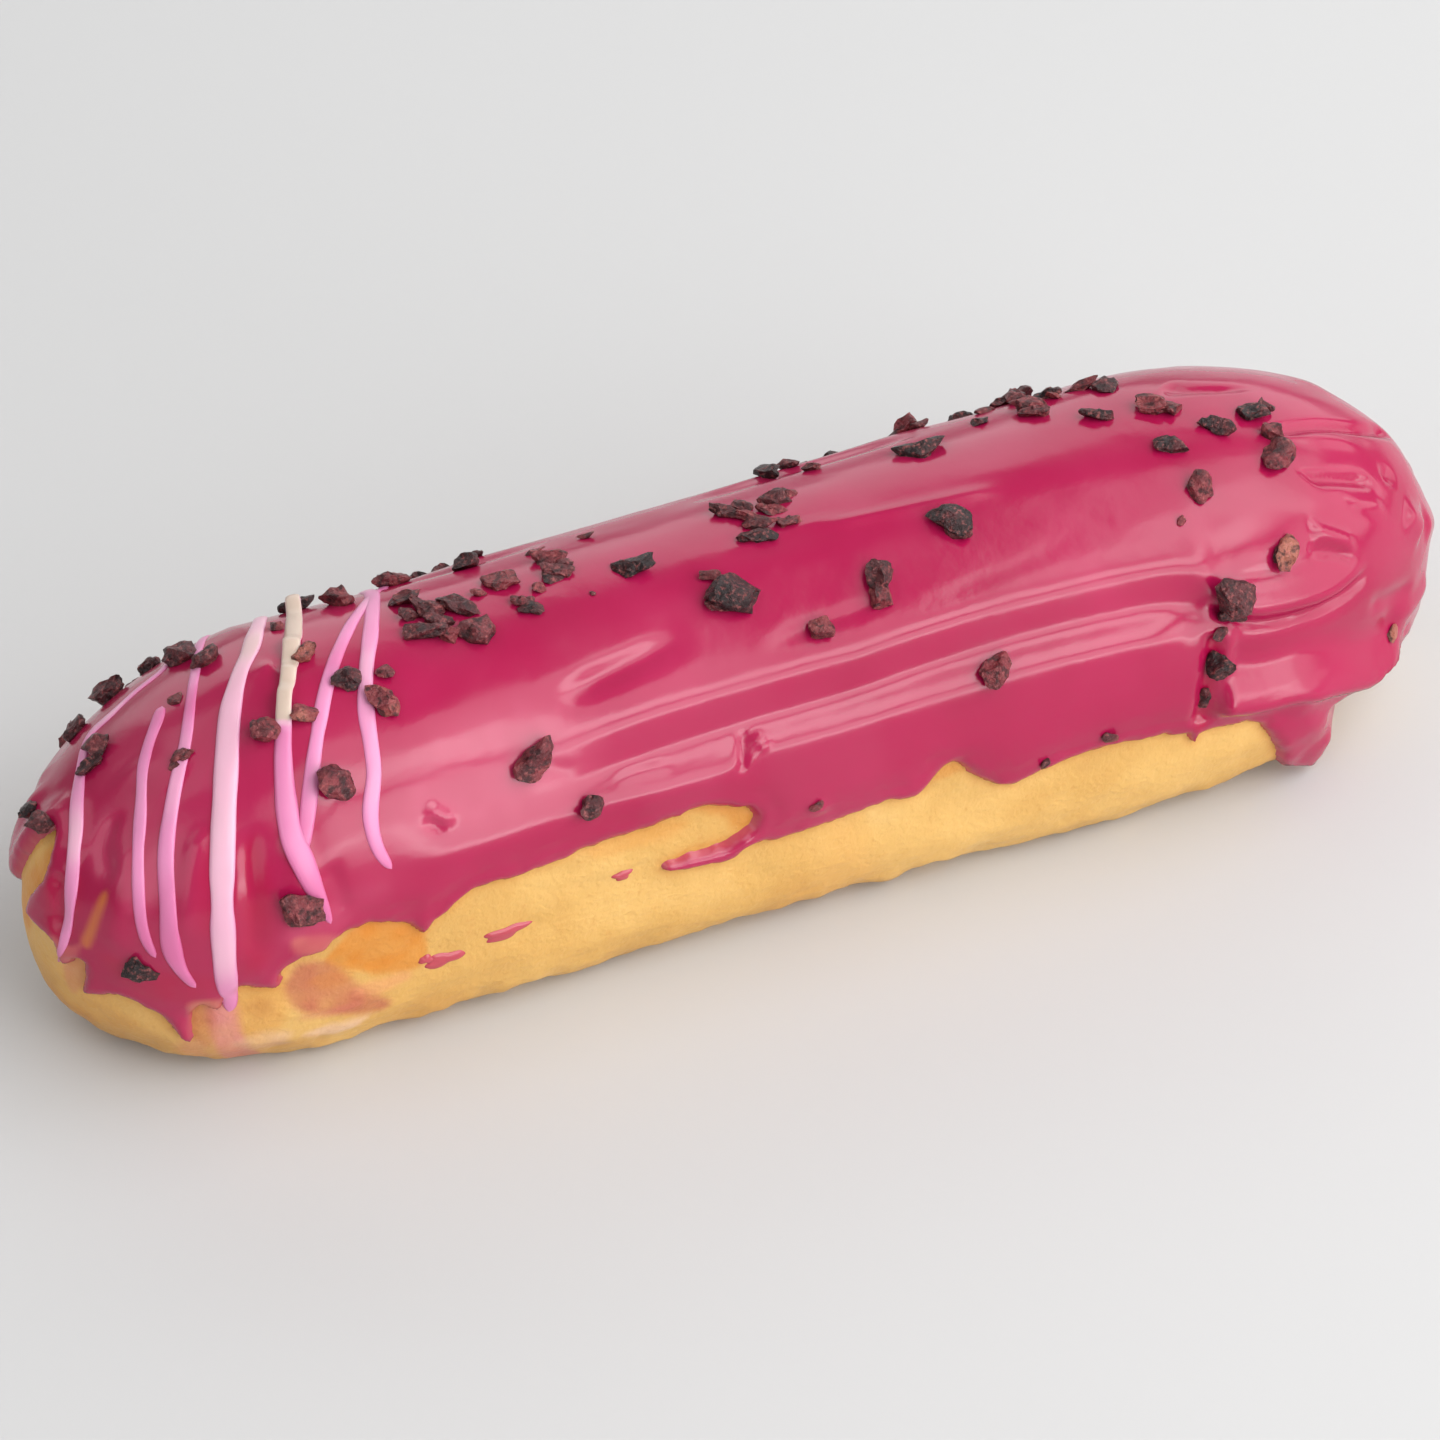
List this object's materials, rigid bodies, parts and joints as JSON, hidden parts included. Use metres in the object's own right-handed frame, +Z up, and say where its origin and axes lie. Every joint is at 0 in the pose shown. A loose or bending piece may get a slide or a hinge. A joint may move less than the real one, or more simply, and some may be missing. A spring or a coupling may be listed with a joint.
{
  "type": "raspberry eclair",
  "caption": "Long baked choux finger with a flat base and a thick pink raspberry icing coat that runs down its sides in uneven drips; a single iced pastry for plates and displays.",
  "frame": {"origin": "middle of the bounding box at the bottom, on the surface the eclair rests on", "axes": "+X along the eclair towards its plain end (the drizzled end is at -X), +Z up, -Y towards the side with the high icing arch and the small notch"},
  "size_m": [0.1534, 0.0418, 0.0384],
  "materials": {
    "baked_choux": "matte golden baked crust, darker along the icing and round the ends",
    "raspberry_icing": "satin-gloss raspberry fondant icing, smooth, with soft lengthwise channels",
    "pink_drizzle": "pale pink set icing lines",
    "cocoa_nib": "dark, rough broken cocoa nibs"
  },
  "bodies": {
    "root": {"choux_shell": "baked_choux", "raspberry_icing": "raspberry_icing"}
  },
  "joints": []
}
